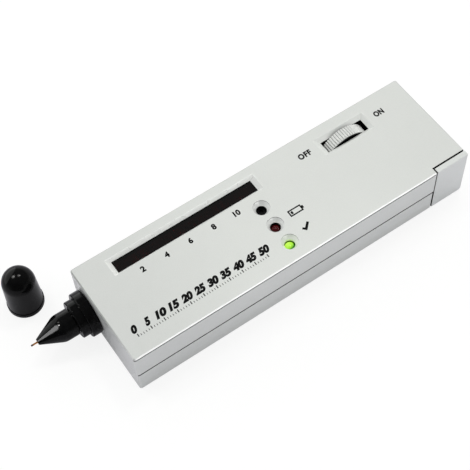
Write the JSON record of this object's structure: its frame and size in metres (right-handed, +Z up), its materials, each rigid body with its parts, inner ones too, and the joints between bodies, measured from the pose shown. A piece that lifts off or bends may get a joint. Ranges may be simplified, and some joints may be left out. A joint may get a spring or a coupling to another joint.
{
  "type": "diamond tester",
  "caption": "Slim rectangular hand tester with a stepped probe and sprung pin, a bevelled display slot, lamp wells, a ribbed thumbwheel, a sliding battery door and a loose probe cap.",
  "frame": {"origin": "middle of the case's flat underside, the face that it lies on", "axes": "+X from the probe to the battery end, +Z up through the display face, -Y the side with the battery door"},
  "size_m": [0.1576, 0.057, 0.022],
  "materials": {
    "silver_paint": "satin silver paint on moulded plastic",
    "black_gloss": "glossy black moulding",
    "copper": "bright copper wire",
    "brass": "turned",
    "ceramic": "matte ceramic",
    "bare_metal": "plated",
    "pale_plastic": "matte",
    "red_sleeve": "soft vinyl",
    "black_sleeve": "soft vinyl",
    "smoked_window": "dark smoked clear plastic",
    "red_lamp": "clear red, unlit",
    "green_lamp": "clear green, lit",
    "black_plastic": "matte",
    "blue_plastic": "satin",
    "circuit_board": "lacquered laminate",
    "resistor_lacquer": "lacquer",
    "battery_wrap": "plain dark wrap"
  },
  "bodies": {
    "case": {"top_shell": "silver_paint", "bottom_shell": "silver_paint", "display_window": "smoked_window", "display_led_bar": "red_lamp", "led_bar_housing": "black_plastic", "low_battery_lamp": "red_lamp", "ready_lamp": "green_lamp", "buzzer": "black_plastic", "main_board": "circuit_board", "driver_chip": "black_plastic", "amplifier_chip": "black_plastic", "trimmer_1": "blue_plastic", "trimmer_2": "blue_plastic", "capacitor_1": "blue_plastic", "capacitor_2": "blue_plastic", "capacitor_3": "blue_plastic", "resistor_1": "resistor_lacquer", "resistor_2": "resistor_lacquer", "resistor_3": "resistor_lacquer", "resistor_4": "resistor_lacquer", "resistor_5": "resistor_lacquer", "resistor_6": "resistor_lacquer", "board_screw_1": "bare_metal", "board_screw_2": "bare_metal", "board_screw_3": "bare_metal", "case_screw_1": "bare_metal", "case_screw_2": "bare_metal", "case_screw_3": "bare_metal", "case_screw_4": "bare_metal", "pot_body": "black_plastic", "battery": "battery_wrap", "battery_stud": "bare_metal", "battery_crown": "bare_metal", "battery_snap": "black_plastic", "battery_lead_red": "red_sleeve", "battery_lead_black": "black_sleeve", "probe_collar": "black_gloss", "probe_nose": "black_gloss", "probe_spring": "bare_metal", "probe_plug": "pale_plastic", "probe_lead_near": "red_sleeve", "probe_lead_far": "red_sleeve"},
    "wheel": {"thumbwheel": "silver_paint", "pot_shaft": "bare_metal", "wheel_screw": "bare_metal"},
    "tip": {"probe_pin": "copper", "probe_plunger": "brass", "probe_heater": "ceramic"},
    "door": {"battery_door": "silver_paint"},
    "cap": {"probe_cap": "black_gloss"}
  },
  "joints": [
    {"name": "wheel_turn", "type": "hinge", "parent": "case", "child": "wheel", "pos_m": [0.0385, 0.0095, 0.0122], "axis": [0, 1, 0], "range_deg": [-60, 230]},
    {"name": "pin_press", "type": "slide", "parent": "case", "child": "tip", "axis": [1, 0, 0], "range_m": [0, 0.0012], "stiffness_N_per_m": 300, "springref_m": -0.001, "deforming": ["probe_spring"]},
    {"name": "door_slide", "type": "slide", "parent": "case", "child": "door", "axis": [0, -1, 0], "range_m": [0, 0.035]},
    {"name": "cap_lift", "type": "slide", "parent": "case", "child": "cap", "axis": [0, 0, 1], "range_m": [0, 0.03]}
  ]
}
